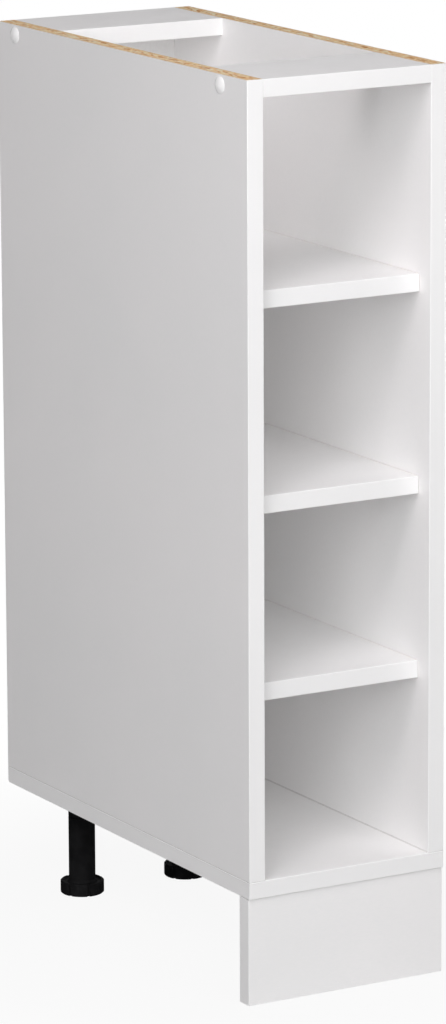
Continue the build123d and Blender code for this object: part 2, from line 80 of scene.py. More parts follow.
Material = bpy.types.Material
Node = bpy.types.Node
NodeTree = bpy.types.NodeTree
Socket = bpy.types.NodeSocket
Shape = bmesh.types.BMesh
Vert = bmesh.types.BMVert
Colour = tuple[float, float, float, float]
Point = tuple[float, float, float]
Spot = tuple[float, float]
Range = tuple[float, float]
Feed = Union[Socket, float, Sequence[float]]


def paint(red: int, green: int, blue: int) -> Colour:
    """Turn a colour picked on a screen into the light values that a shader takes.

    Args:
        red: red from 0 to 255.
        green: green from 0 to 255.
        blue: blue from 0 to 255.

    Returns:
        The colour in linear light, with full alpha.
    """
    toe_end, toe_slope, lift, power = 0.04045, 12.92, 0.055, 2.4
    linear = []
    for part in (red / 255.0, green / 255.0, blue / 255.0):
        curve = ((part + lift) / (1.0 + lift)) ** power
        linear.append(part / toe_slope if part <= toe_end else curve)
    return (linear[0], linear[1], linear[2], 1.0)


BOARD_WHITE = paint(250, 249, 249)


class Axis(Enum):
    """The unit's three directions: across, front to back, and up."""

    ACROSS = 0
    DEPTH = 1
    HEIGHT = 2

    def vector(self, along: float, other: float) -> Point:
        """Spread two values over the three axes.

        Args:
            along: value along this axis.
            other: value along the other two.

        Returns:
            The three values in order.
        """
        values = [other, other, other]
        values[self.value] = along
        return (values[0], values[1], values[2])


class Slot(Enum):
    """Names of finish slots in the part's record; the added pieces here take their finishes from the finish
    book instead.
    """

    WHITE_BOARD = "white_board"
    WHITE_EDGING = "white_edging"
    ZINC_SCREW = "zinc_screw"
    BLACK_PLASTIC = "black_plastic"


class Graph:
    """Adds nodes to one node tree and joins their sockets."""

    def __init__(self, tree: NodeTree) -> None:
        """Empty the tree and keep it."""
        self.tree = tree
        tree.nodes.clear()

    def add(self, kind: str, **settings: object) -> Node:
        """Add one node.

        Args:
            kind: the node's type, without Blender's prefix for shader nodes.
            settings: properties to set on the new node.

        Returns:
            The new node.
        """
        node = self.tree.nodes.new(kind if kind.startswith("Node") else f"ShaderNode{kind}")
        for name, value in settings.items():
            setattr(node, name, value)
        return node

    def feed(self, target: Socket, source: Feed) -> None:
        """Link a socket to an input, or set the input's own value.

        Args:
            target: the input socket.
            source: an output socket, a number or a list of numbers.
        """
        if isinstance(source, Socket):
            self.tree.links.new(source, target)
        else:
            target.default_value = source

    def calculate(self, operation: str, first: Feed, second: Feed = 0.0, clamp: bool = False) -> Socket:
        """Work out a value from two others.

        Args:
            operation: Blender's name of the operation.
            first: first value.
            second: second value.
            clamp: whether the result stays between 0 and 1.

        Returns:
            The result's socket.
        """
        node = self.add("Math", operation=operation, use_clamp=clamp)
        self.feed(node.inputs[0], first)
        self.feed(node.inputs[1], second)
        return node.outputs[0]

    def weigh(self, share: float, first: Feed, second: Feed) -> Socket:
        """Add a share of one value to the rest of another.

        Args:
            share: the first value's weight.
            first: first value.
            second: value that takes up the rest of the weight.

        Returns:
            The sum's socket.
        """
        kept = self.calculate("MULTIPLY", first, share)
        return self.calculate("ADD", kept, self.calculate("MULTIPLY", second, 1.0 - share))

    def spread(
        self, value: Feed, low: float, high: float, to_low: float = 0.0, to_high: float = 1.0
    ) -> Socket:
        """Map a value from one range to another with soft ends.

        Args:
            value: the value to map.
            low: value that becomes to_low.
            high: value that becomes to_high.
            to_low: result at low.
            to_high: result at high.

        Returns:
            The mapped value's socket.
        """
        node = self.add("MapRange", interpolation_type="SMOOTHSTEP")
        for socket, number in zip(node.inputs, (value, low, high, to_low, to_high)):
            self.feed(socket, number)
        return node.outputs[0]

    def swing(self, value: Feed, ends: Range) -> Socket:
        """Map soft noise from its usual range to another."""
        return self.spread(value, *SOFT_NOISE, *ends)

    def blend(self, share: Feed, first: Feed, second: Feed) -> Socket:
        """Mix two colours.

        Args:
            share: how much of the second colour shows.
            first: colour where share is 0.
            second: colour where share is 1.

        Returns:
            The mixed colour's socket.
        """
        node = self.add("Mix", data_type="RGBA", clamp_factor=True)
        self.feed(node.inputs["Factor"], share)
        self.feed(node.inputs[6], first)
        self.feed(node.inputs[7], second)
        return node.outputs[2]

    def ramp(self, value: Feed, stops: Sequence[tuple[float, Colour]]) -> Socket:
        """Turn a value into a colour.

        Args:
            value: position along the ramp.
            stops: positions with their colours, in order.

        Returns:
            The colour's socket.
        """
        node = self.add("ValToRGB")
        elements = node.color_ramp.elements
        while len(elements) < len(stops):
            elements.new(1.0)
        for element, (place, colour) in zip(elements, stops):
            element.position = place
            element.color = colour
        self.feed(node.inputs[0], value)
        return node.outputs[0]

    def point(self) -> Socket:
        """Return the point on the piece, in metres."""
        return self.add("TexCoord").outputs["Object"]

    def scaled_point(self, scale: Feed) -> Socket:
        """Scale the point on the piece along each axis.

        Args:
            scale: the three scales.

        Returns:
            The scaled point's socket.
        """
        node = self.add("VectorMath", operation="MULTIPLY")
        self.feed(node.inputs[0], self.point())
        self.feed(node.inputs[1], scale)
        return node.outputs[0]

    def noise(self, place: Feed, scale: Feed, detail: float = 2.0, rough: float = 0.5) -> Socket:
        """Return soft noise from 0 to 1.

        Args:
            place: the point where the noise is read.
            scale: how many of its blots fit in one unit.
            detail: finer layers added to it.
            rough: strength of the finer layers.

        Returns:
            The noise value's socket.
        """
        node = self.add("TexNoise")
        self.feed(node.inputs["Vector"], place)
        self.feed(node.inputs["Scale"], scale)
        node.inputs["Detail"].default_value = detail
        node.inputs["Roughness"].default_value = rough
        return node.outputs["Fac"]


@dataclass
class SharedEffects:
    """Shader node groups that several finishes use, each built the first time it is asked for."""

    groups: dict[str, NodeTree] = field(default_factory=dict)

    def place(self, graph: Graph, effect: Callable[[], NodeTree], **values: Feed) -> Node:
        """Put an effect into a material.

        Args:
            graph: the material's nodes.
            effect: the method of this class that builds the group.
            values: the group's inputs, their names in small letters with _ for a space.

        Returns:
            The group's node in the material.
        """
        name = effect.__name__
        if name not in self.groups:
            self.groups[name] = effect()
        node = graph.add("Group", node_tree=self.groups[name])
        for key, value in values.items():
            graph.feed(node.inputs[key.replace("_", " ").title()], value)
        return node

    @staticmethod
    def start(name: str, inputs: dict[str, str], outputs: Sequence[str]) -> tuple[Graph, Node, Node]:
        """Make an empty node group with named sockets.

        Args:
            name: the group's name.
            inputs: names of its inputs with their kinds, Float or Vector.
            outputs: names of its outputs, which are all plain values.

        Returns:
            The group's nodes, its input node and its output node.
        """
        tree = bpy.data.node_groups.new(name, "ShaderNodeTree")
        for socket, kind in inputs.items():
            tree.interface.new_socket(name=socket, in_out="INPUT", socket_type=f"NodeSocket{kind}")
        for socket in outputs:
            tree.interface.new_socket(name=socket, in_out="OUTPUT", socket_type="NodeSocketFloat")
        graph = Graph(tree)
        return graph, graph.add("NodeGroupInput"), graph.add("NodeGroupOutput")

    def pressed_skin(self) -> NodeTree:
        """Build the fine pearl texture that a press leaves on a faced board or an edge band.

        Returns:
            The group, which puts out the pearls' height, a cloudy tone and the sheen.
        """
        cloud_scale, cloud_share, sheen_scale = 5.0, 0.6, 90.0
        inputs = {"Stretch": "Vector", "Pearls": "Float"}
        graph, given, out = self.start("pressed_skin", inputs, ("Height", "Tone", "Sheen"))
        place = graph.scaled_point(given.outputs["Stretch"])
        pearls = graph.noise(place, given.outputs["Pearls"], detail=3.0, rough=0.6)
        clouds = graph.noise(graph.point(), cloud_scale, detail=3.0)
        graph.feed(out.inputs["Height"], pearls)
        graph.feed(out.inputs["Tone"], graph.weigh(cloud_share, clouds, pearls))
        graph.feed(out.inputs["Sheen"], graph.noise(place, sheen_scale))
        return graph.tree

    def wood_chips(self) -> NodeTree:
        """Build flat wood chips pressed together, with dark gaps between some of them.

        Returns:
            The group, which puts out the chips' tone, their gaps and their height.
        """
        bend_scale, bend_reach, fibre_scale = 0.7, 0.9, 3.2
        chip_share, gap_width, tone_height = 0.72, 0.13, 0.5
        open_range = (0.45, 0.8)
        graph, given, out = self.start("wood_chips", {"Chips": "Vector"}, ("Tone", "Gap", "Height"))
        place = graph.scaled_point(given.outputs["Chips"])
        bend = graph.add("TexNoise")
        graph.feed(bend.inputs["Vector"], place)
        bend.inputs["Scale"].default_value = bend_scale
        moved = graph.add("VectorMath", operation="MULTIPLY_ADD")
        graph.feed(moved.inputs[0], bend.outputs["Color"])
        moved.inputs[1].default_value = (bend_reach, bend_reach, bend_reach)
        graph.feed(moved.inputs[2], place)
        cells = graph.add("TexVoronoi", feature="F1")
        edges = graph.add("TexVoronoi", feature="DISTANCE_TO_EDGE")
        for node in (cells, edges):
            graph.feed(node.inputs["Vector"], moved.outputs[0])
            node.inputs["Scale"].default_value = 1.0
        split = graph.add("SeparateColor")
        graph.feed(split.inputs[0], cells.outputs["Color"])
        fibre = graph.noise(place, fibre_scale, detail=4.0, rough=0.7)
        tone = graph.weigh(chip_share, split.outputs[0], fibre)
        at_edge = graph.spread(edges.outputs["Distance"], 0.0, gap_width, 1.0, 0.0)
        gap = graph.calculate("MULTIPLY", at_edge, graph.spread(split.outputs[1], *open_range))
        raised = graph.calculate("MULTIPLY", tone, tone_height)
        graph.feed(out.inputs["Tone"], tone)
        graph.feed(out.inputs["Gap"], gap)
        graph.feed(out.inputs["Height"], graph.calculate("SUBTRACT", raised, gap))
        return graph.tree

    def mould_grain(self) -> NodeTree:
        """Build the eroded grain and faint scuffs of a plastic moulding.

        Returns:
            The group, which puts out the grain's height, a cloudy tone and the scuffs.
        """
        cloud_scale, scuff_scale = 60.0, (900.0, 900.0, 60.0)
        streaks, worn_patches = (0.6, 0.75), (0.45, 0.65)
        graph, given, out = self.start("mould_grain", {"Grains": "Float"}, ("Height", "Tone", "Scuff"))
        tone = graph.noise(graph.point(), cloud_scale, detail=3.0)
        streak = graph.noise(graph.scaled_point(scuff_scale), 1.0, detail=1.0)
        scuff = graph.calculate("MULTIPLY", graph.spread(streak, *streaks), graph.spread(tone, *worn_patches))
        graph.feed(out.inputs["Height"], graph.noise(graph.point(), given.outputs["Grains"], rough=0.6))
        graph.feed(out.inputs["Tone"], tone)
        graph.feed(out.inputs["Scuff"], scuff)
        return graph.tree

    def plated_skin(self) -> NodeTree:
        """Build the cloudy spangle and fine drawing lines of plated steel.

        Returns:
            The group, which puts out the spangle and the lines.
        """
        spangle_scale = 700.0
        graph, given, out = self.start("plated_skin", {"Stretch": "Vector"}, ("Spangle", "Line"))
        cells = graph.add("TexVoronoi", feature="SMOOTH_F1")
        graph.feed(cells.inputs["Vector"], graph.point())
        cells.inputs["Scale"].default_value = spangle_scale
        graph.feed(out.inputs["Spangle"], cells.outputs["Distance"])
        graph.feed(out.inputs["Line"], graph.noise(graph.scaled_point(given.outputs["Stretch"]), 1.0))
        return graph.tree

    def settled_dust(self) -> NodeTree:
        """Build a thin uneven film of dust on faces that look up.

        Returns:
            The group, which puts out the film.
        """
        patch_scale, patch_range, slopes = 26.0, (0.3, 0.75), (0.5, 0.95)
        graph, given, out = self.start("settled_dust", {"Amount": "Float"}, ("Film",))
        split = graph.add("SeparateXYZ")
        graph.feed(split.inputs[0], graph.add("NewGeometry").outputs["Normal"])
        facing_up = graph.spread(split.outputs["Z"], *slopes)
        cloud = graph.noise(graph.point(), patch_scale, detail=5.0, rough=0.65)
        lying = graph.calculate("MULTIPLY", facing_up, graph.spread(cloud, *patch_range))
        graph.feed(out.inputs["Film"], graph.calculate("MULTIPLY", lying, given.outputs["Amount"]))
        return graph.tree


EFFECTS = SharedEffects()


@dataclass(frozen=True)
class Finish:
    """What every finish has: a name, a main colour and a second colour that it varies to."""

    name: str
    colour: Colour
    second: Colour

    def start(self) -> tuple[Material, Graph, Node]:
        """Make a material with an empty surface shader.

        Returns:
            The material, its nodes and its Principled shader.
        """
        material = bpy.data.materials.new(self.name)
        material.use_nodes = True
        material.diffuse_color = self.colour
        graph = Graph(material.node_tree)
        shader = graph.add("BsdfPrincipled")
        graph.feed(graph.add("OutputMaterial").inputs["Surface"], shader.outputs[0])
        return material, graph, shader

    def vary(self, graph: Graph, value: Feed, ends: Range) -> Socket:
        """Return the second colour at the low end of a value's range, and the main one at its high end."""
        return graph.blend(graph.spread(value, *ends), self.second, self.colour)

    @staticmethod
    def emboss(graph: Graph, shader: Node, height: Feed, depth: float, strength: float) -> None:
        """Give the shader a bumpy surface.

        Args:
            graph: the material's nodes.
            shader: the shader that gets the bumps.
            height: the height from 0 to 1.
            depth: what a height of 1 stands for, in metres.
            strength: how much of the bump shows.
        """
        bump = graph.add("Bump")
        bump.inputs["Strength"].default_value = strength
        bump.inputs["Distance"].default_value = depth
        graph.feed(bump.inputs["Height"], height)
        graph.feed(shader.inputs["Normal"], bump.outputs[0])

    def material(self) -> Material:
        """Build the finish; each kind of finish has its own way."""
        raise NotImplementedError(self.name)


@dataclass(frozen=True)
class PressedWhite(Finish):
    """White skin on a board: the pressed facing, a glued edge band, or lacquer rolled on hardboard."""

    stretch: Point = EVEN
    pearls: float = 1500.0
    tones: Range = (0.36, 0.64)
    rough: Range = (0.3, 0.4)
    depth: float = 0.02 * MM
    relief: float = 0.25
    dust: float = 0.0
    dust_colour: Colour = paint(206, 205, 203)

    def material(self) -> Material:
        """Build the skin from its pearls, with a little dust where the finish has any.

        Returns:
            The finished material.
        """
        material, graph, shader = self.start()
        skin = EFFECTS.place(graph, EFFECTS.pressed_skin, stretch=self.stretch, pearls=self.pearls)
        tone = self.vary(graph, skin.outputs["Tone"], self.tones)
        gloss = graph.swing(skin.outputs["Sheen"], self.rough)
        if self.dust > 0.0:
            film = EFFECTS.place(graph, EFFECTS.settled_dust, amount=self.dust).outputs["Film"]
            tone = graph.blend(film, tone, self.dust_colour)
            gloss = graph.calculate("ADD", gloss, film, clamp=True)
        graph.feed(shader.inputs["Base Color"], tone)
        graph.feed(shader.inputs["Roughness"], gloss)
        self.emboss(graph, shader, skin.outputs["Height"], self.depth, self.relief)
        return material


@dataclass(frozen=True)
class RawChipboard(Finish):
    """Sawn chipboard: coarse chips in the core, fine ones at both faces, a thin white skin outside."""

    lie: Axis
    facing: Colour = BOARD_WHITE
    dark_chip: Colour = paint(200, 138, 80)
    pale_chip: Colour = paint(255, 236, 192)
    palest_chip: Colour = paint(255, 245, 214)
    gap_colour: Colour = paint(168, 108, 56)
    coarse_chips: Range = (580.0, 140.0)
    fine_chips: Range = (1900.0, 520.0)
    fine_gaps: float = 0.6
    gap_share: float = 0.36
    core_end: Range = (0.25, 0.33)
    skin_start: Range = (0.482, 0.488)
    rough: Range = (0.92, 0.74)
    depth: float = 0.2 * MM
    relief: float = 0.35

    def material(self) -> Material:
        """Build the edge from two sizes of chips, layered through the board's thickness.

        Returns:
            The finished material.
        """
        material, graph, shader = self.start()
        coarse = EFFECTS.place(graph, EFFECTS.wood_chips, chips=self.lie.vector(*self.coarse_chips))
        fine = EFFECTS.place(graph, EFFECTS.wood_chips, chips=self.lie.vector(*self.fine_chips))
        # Generated coordinates run from 0 to 1 through the board, so its middle lies at 0.5.
        through = graph.add("SeparateXYZ")
        graph.feed(through.inputs[0], graph.add("TexCoord").outputs["Generated"])
        off_middle = graph.calculate("SUBTRACT", through.outputs[self.lie.value], 0.5)
        depth = graph.calculate("ABSOLUTE", off_middle)
        tones = (
            (0.16, self.dark_chip),
            (0.32, self.second),
            (0.5, self.colour),
            (0.66, self.pale_chip),
            (0.84, self.palest_chip),
        )
        core, crust = (graph.ramp(chips.outputs["Tone"], tones) for chips in (coarse, fine))
        wood = graph.blend(graph.spread(depth, *self.core_end), core, crust)
        small_gaps = graph.calculate("MULTIPLY", fine.outputs["Gap"], self.fine_gaps)
        gap = graph.calculate("MAXIMUM", coarse.outputs["Gap"], small_gaps)
        dark = graph.blend(graph.calculate("MULTIPLY", gap, self.gap_share), wood, self.gap_colour)
        skinned = graph.blend(graph.spread(depth, *self.skin_start), dark, self.facing)
        height = graph.calculate("ADD", coarse.outputs["Height"], fine.outputs["Height"])
        graph.feed(shader.inputs["Base Color"], skinned)
        graph.feed(shader.inputs["Roughness"], graph.spread(coarse.outputs["Tone"], *CHIP_TONES, *self.rough))
        self.emboss(graph, shader, height, self.depth, self.relief)
        return material


@dataclass(frozen=True)
class BareHardboard(Finish):
    """Unpainted pressed fibre on the outer face of the back."""

    fibres: Point = (1300.0, 1300.0, 420.0)
    fibre_share: float = 0.45
    clumps: float = 260.0
    tones: Range = (0.3, 0.68)
    rough: Range = (0.62, 0.78)
    dust: float = 0.3
    dust_colour: Colour = paint(178, 166, 150)
    depth: float = 0.08 * MM
    relief: float = 0.45

    def material(self) -> Material:
        """Build the board from fine matted fibres.

        Returns:
            The finished material.
        """
        material, graph, shader = self.start()
        fibres = EFFECTS.place(graph, EFFECTS.wood_chips, chips=self.fibres)
        skin = EFFECTS.place(graph, EFFECTS.pressed_skin, stretch=EVEN, pearls=self.clumps)
        film = EFFECTS.place(graph, EFFECTS.settled_dust, amount=self.dust)
        matted = graph.weigh(self.fibre_share, fibres.outputs["Tone"], skin.outputs["Tone"])
        wood = self.vary(graph, matted, self.tones)
        graph.feed(shader.inputs["Base Color"], graph.blend(film.outputs["Film"], wood, self.dust_colour))
        graph.feed(shader.inputs["Roughness"], graph.swing(skin.outputs["Sheen"], self.rough))
        self.emboss(graph, shader, fibres.outputs["Height"], self.depth, self.relief)
        return material


@dataclass(frozen=True)
class MouldedPlastic(Finish):
    """Injection-moulded plastic: caps, legs and clips."""

    rough: Range
    shine: float = 0.5
    tones: Range = (0.35, 0.65)
    grains: float = 2600.0
    depth: float = 0.04 * MM
    relief: float = 0.5
    scuff_share: float = 0.35
    scuff_rough: float = 0.12

    def material(self) -> Material:
        """Build the moulding's grain and faint scuffs.

        Returns:
            The finished material.
        """
        material, graph, shader = self.start()
        grain = EFFECTS.place(graph, EFFECTS.mould_grain, grains=self.grains)
        tone = graph.blend(graph.spread(grain.outputs["Tone"], *self.tones), self.colour, self.second)
        scuff = graph.calculate("MULTIPLY", grain.outputs["Scuff"], self.scuff_share)
        gloss = graph.swing(grain.outputs["Tone"], self.rough)
        dulled = graph.calculate("MULTIPLY", grain.outputs["Scuff"], self.scuff_rough)
        graph.feed(shader.inputs["Base Color"], graph.blend(scuff, tone, self.second))
        graph.feed(shader.inputs["Roughness"], graph.calculate("ADD", dulled, gloss, clamp=True))
        shader.inputs["Specular IOR Level"].default_value = self.shine
        self.emboss(graph, shader, grain.outputs["Height"], self.depth, self.relief)
        return material


@dataclass(frozen=True)
class PlatedSteel(Finish):
    """Zinc or nickel plated steel of screws, nails and shelf supports."""

    rough: Range
    clouds: Range = (0.1, 0.6)
    lines: Point = (2600.0, 2600.0, 260.0)
    depth: float = 0.02 * MM
    relief: float = 0.3

    def material(self) -> Material:
        """Build the plating from its spangle and drawing lines.

        Returns:
            The finished material.
        """
        material, graph, shader = self.start()
        skin = EFFECTS.place(graph, EFFECTS.plated_skin, stretch=self.lines)
        cloud = graph.spread(skin.outputs["Spangle"], *self.clouds)
        graph.feed(shader.inputs["Base Color"], graph.blend(cloud, self.colour, self.second))
        graph.feed(shader.inputs["Roughness"], graph.swing(skin.outputs["Line"], self.rough))
        shader.inputs["Metallic"].default_value = 1.0
        self.emboss(graph, shader, skin.outputs["Line"], self.depth, self.relief)
        return material


@dataclass(frozen=True)
class BeechDowel(Finish):
    """Beech of the dowels, its grain along the pin."""

    grain: Point = (160.0, 1500.0, 1500.0)
    tones: Range = (0.25, 0.75)
    rough: Range = (0.7, 0.55)
    depth: float = 0.05 * MM
    relief: float = 0.4

    def material(self) -> Material:
        """Build the wood from drawn-out chips and fine pores.

        Returns:
            The finished material.
        """
        material, graph, shader = self.start()
        grain = EFFECTS.place(graph, EFFECTS.wood_chips, chips=self.grain)
        graph.feed(shader.inputs["Base Color"], self.vary(graph, grain.outputs["Tone"], self.tones))
        graph.feed(shader.inputs["Roughness"], graph.spread(grain.outputs["Tone"], *CHIP_TONES, *self.rough))
        self.emboss(graph, shader, grain.outputs["Height"], self.depth, self.relief)
        return material


@dataclass(frozen=True)
class PaintedShadeStrip(Finish):
    """Matt grey strip whose tone is painted shade: it stands for the shadow in a joint between two boards."""

    grains: float = 900.0
    rough: Range = (0.8, 0.95)
    depth: float = 0.04 * MM
    relief: float = 0.4

    def material(self) -> Material:
        """Build the strip's painted shade from uneven matt grey.

        Returns:
            The finished material.
        """
        material, graph, shader = self.start()
        grain = EFFECTS.place(graph, EFFECTS.mould_grain, grains=self.grains)
        graph.feed(shader.inputs["Base Color"], self.vary(graph, grain.outputs["Height"], SOFT_NOISE))
        graph.feed(shader.inputs["Roughness"], graph.swing(grain.outputs["Tone"], self.rough))
        self.emboss(graph, shader, grain.outputs["Height"], self.depth, self.relief)
        return material


@dataclass
class FinishBook:
    """All finishes of the unit, each built once."""

    made: dict[str, Material] = field(default_factory=dict)

    def get(self, finish: Finish) -> Material:
        """Return a finish's material, building it the first time.

        Args:
            finish: the finish that is wanted.

        Returns:
            Its material.
        """
        if finish.name not in self.made:
            self.made[finish.name] = finish.material()
        return self.made[finish.name]

    def facing(self, run: Axis) -> Material:
        """Return the white facing whose pearls are drawn out along one axis.

        Args:
            run: the axis along the board.

        Returns:
            The facing's material.
        """
        finish = PressedWhite(
            f"white_facing_{run.name.lower()}",
            BOARD_WHITE,
            paint(246, 246, 246),
            stretch=run.vector(0.22, 1.0),
            pearls=950.0,
            rough=(0.46, 0.58),
            depth=0.05 * MM,
            relief=0.35,
            dust=0.03,
        )
        return self.get(finish)

    def chipboard(self, lie: Axis) -> Material:
        """Return the sawn edge of a board whose thickness lies along one axis."""
        name = f"sawn_chipboard_{lie.name.lower()}"
        return self.get(RawChipboard(name, paint(255, 222, 172), paint(250, 198, 140), lie))

    def edging(self) -> Material:
        """Return the white edge band, smoother than the facing beside it."""
        return self.get(PressedWhite("white_edge_band", paint(250, 250, 250), paint(247, 247, 247)))

    def back_inside(self) -> Material:
        """Return the back's lacquered inner face, with the board's fibres faintly raised under it."""
        finish = PressedWhite(
            "white_back_lacquer",
            paint(247, 247, 246),
            paint(241, 241, 240),
            stretch=(1.0, 1.0, 0.5),
            pearls=420.0,
            rough=(0.45, 0.6),
            depth=0.06 * MM,
            relief=0.4,
        )
        return self.get(finish)

    def back_outside(self) -> Material:
        """Return the back's bare outer face."""
        return self.get(BareHardboard("bare_hardboard", paint(158, 116, 80), paint(116, 80, 52)))

    def cap(self) -> Material:
        """Return the white plastic of the cover caps."""
        white, shade = paint(250, 250, 250), paint(246, 246, 246)
        return self.get(MouldedPlastic("white_cap_plastic", white, shade, (0.19, 0.3), depth=0.005 * MM))

    def leg(self) -> Material:
        """Return the matt black plastic of the legs."""
        black, worn = paint(26, 26, 27), paint(34, 34, 35)
        return self.get(MouldedPlastic("black_leg_plastic", black, worn, (0.67, 0.78), shine=0.002))

    def clip(self) -> Material:
        """Return the dark plastic of the plinth clips."""
        dark, worn = paint(34, 35, 37), paint(46, 47, 49)
        return self.get(MouldedPlastic("dark_clip_plastic", dark, worn, (0.45, 0.56), shine=0.25))

    def zinc(self) -> Material:
        """Return the zinc plating of screws and nails."""
        bright, cloudy = paint(196, 198, 202), paint(172, 175, 182)
        return self.get(PlatedSteel("zinc_plating", bright, cloudy, (0.27, 0.44)))

    def nickel(self) -> Material:
        """Return the nickel plating of the shelf supports."""
        bright, cloudy = paint(206, 203, 196), paint(188, 184, 176)
        return self.get(PlatedSteel("nickel_plating", bright, cloudy, (0.17, 0.34)))

    def seam(self) -> Material:
        """Return the grey of the seams, painted shade for the corner where the sides stand on the bottom
        panel.
        """
        return self.get(PaintedShadeStrip("painted_seam_shade", paint(231, 230, 229), paint(218, 217, 216)))

    def gap(self) -> Material:
        """Return the dark grey of painted shade in the gap at the foot of the sides."""
        return self.get(PaintedShadeStrip("painted_gap_shade", paint(180, 179, 178), paint(164, 163, 162)))

    def front_gap(self) -> Material:
        """Return the paler grey of painted shade in the gap on the front faces, where more light falls."""
        return self.get(PaintedShadeStrip("painted_front_gap_shade", paint(214, 213, 212), paint(202, 201, 200)))

    def beech(self) -> Material:
        """Return the wood of the dowels."""
        return self.get(BeechDowel("beech_wood", paint(214, 176, 128), paint(186, 142, 96)))


def fill_slots(node: str, *finishes: Material) -> bpy.types.Mesh:
    """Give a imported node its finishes.

    Args:
        node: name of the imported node.
        finishes: the finishes in the order of the node's material slots.

    Returns:
        The node's mesh.
    """
    mesh = frame["nodes"][node].data
    mesh.materials.clear()
    for finish in finishes:
        mesh.materials.append(finish)
    return mesh


def coat(node: str, material: Material) -> None:
    """Give a whole node one finish and report it."""
    fill_slots(node, material)
    LOG.info("%s: %s", node, material.name)


def coat_board(node: str, thickness: Axis, facing: Material, edge: Material) -> None:
    """Face a board on its two large sides, and leave its edges and holes bare.

    Args:
        node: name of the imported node.
        thickness: axis through the board.
        facing: finish of the two large sides.
        edge: finish of the edges and inside the holes.
    """
    low, high = (corner[thickness.value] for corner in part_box(node))
    for polygon in fill_slots(node, facing, edge).polygons:
        level = polygon.center[thickness.value]
        polygon.material_index = 0 if min(level - low, high - level) < FACE_REACH else 1
    LOG.info("%s: %s, edges %s", node, facing.name, edge.name)


def new_piece(name: str, shape: Shape, material: Material, body: str) -> bpy.types.Object:
    """Turn a finished shape into a piece that rides on a body.

    Args:
        name: the piece's name.
        shape: its mesh, which is freed.
        material: its finish.
        body: the body that carries it.

    Returns:
        The new object.
    """
    bmesh.ops.recalc_face_normals(shape, faces=shape.faces)
    mesh = bpy.data.meshes.new(name)
    shape.to_mesh(mesh)
    shape.free()
    mesh.materials.append(material)
    mesh.shade_smooth()
    mesh.set_sharp_from_angle(angle=SMOOTH_ANGLE)
    piece = bpy.data.objects.new(name, mesh)
    bpy.context.scene.collection.objects.link(piece)
    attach(piece, body)
    LOG.info("%s: %s on %s", name, material.name, body)
    return piece


def ring_of(shape: Shape, radius: float, height: float, count: int) -> list[Vert]:
    """Add a level ring of points.

    Args:
        shape: mesh that gets the points.
        radius: radius of the ring.
        height: its height.
        count: number of points.

    Returns:
        The points in order.
    """
    turns = [2.0 * math.pi * step / count for step in range(count)]
    return [shape.verts.new((radius * math.cos(turn), radius * math.sin(turn), height)) for turn in turns]


def ring_edges(shape: Shape, ring: list[Vert]) -> list[bmesh.types.BMEdge]:
    """Return the edges that join a ring's points in turn."""
    return [shape.edges.get(pair) for pair in zip(ring, ring[1:] + ring[:1])]


def skin_rings(shape: Shape, rings: Sequence[list[Vert]]) -> None:
    """Join rings of equal count, each to the next, with four-sided faces.

    Args:
        shape: mesh that gets the faces.
        rings: the rings in order.
    """
    for first, second in zip(rings, rings[1:]):
        for index in range(len(first)):
            after = (index + 1) % len(first)
            shape.faces.new((first[index], first[after], second[after], second[index]))


def sweep(shape: Shape, sections: Sequence[Sequence[Point]]) -> None:
    """Skin a solid through a row of sections and close both its ends.

    Args:
        shape: mesh that gets the solid.
        sections: points of each section, in the same order all along.
    """
    rings = [[shape.verts.new(point) for point in section] for section in sections]
    skin_rings(shape, rings)
    shape.faces.new(rings[0])
    shape.faces.new(rings[-1])


@dataclass
class CrossHeadScrew:
    """Countersunk wood screw with a cross recess, drawn from its head at the origin along +Z, in metres."""

    head_radius: float = 3.7 * MM
    head_height: float = 2.2 * MM
    shank_radius: float = 1.9 * MM
    length: float = 14.0 * MM
    tip: float = 3.0 * MM
    point_radius: float = 0.8 * MM
    arris: float = 0.15 * MM
    recess_reach: float = 2.1 * MM
    recess_half_width: float = 0.5 * MM
    recess_depth: float = 1.5 * MM
    recess_taper: float = 0.45
    sides: int = 32

    def cross(self, shape: Shape, scale: float, height: float) -> list[Vert]:
        """Add the outline of the cross.

        Args:
            shape: mesh that gets the points.
            scale: size against the recess at the head's face.
            height: its height.

        Returns:
            The twelve points in order.
        """
        reach, half = self.recess_reach * scale, self.recess_half_width * scale
        arm = [(reach, -half), (reach, half), (half, half)]
        points = []
        for quarter in range(4):
            turn = Matrix.Rotation(quarter * math.pi / 2.0, 2)
            points += [turn @ Vector(corner) for corner in arm]
        return [shape.verts.new((point.x, point.y, height)) for point in points]

    def draw(self, shape: Shape, place: Matrix) -> None:
        """Add one screw.

        Args:
            shape: mesh that gets the screw.
            place: where its head lies and where it points.
        """
        screw = bmesh.new()
        mouth = self.cross(screw, 1.0, 0.0)
        floor = self.cross(screw, self.recess_taper, self.recess_depth)
        skin_rings(screw, (mouth, floor))
        screw.faces.new(floor)
        profile = (
            (self.head_radius - self.arris, 0.0),
            (self.head_radius, self.arris),
            (self.shank_radius, self.head_height),
            (self.shank_radius, self.length - self.tip),
            (self.point_radius, self.length),
        )
        rings = [ring_of(screw, radius, height, self.sides) for radius, height in profile]
        skin_rings(screw, rings)
        screw.faces.new(rings[-1])
        borders = ring_edges(screw, rings[0]) + ring_edges(screw, mouth)
        bmesh.ops.triangle_fill(screw, use_beauty=True, use_dissolve=False, edges=borders)
        screw.transform(place)
        mesh = bpy.data.meshes.new("screw_draft")
        screw.to_mesh(mesh)
        screw.free()
        shape.from_mesh(mesh)
        bpy.data.meshes.remove(mesh)


class FootRun(Enum):
    """Stretches of the route round the foot of a side panel."""

    OUTER = slice(0, 2)
    FRONT = slice(1, 3)
    BOTH = slice(0, 3)


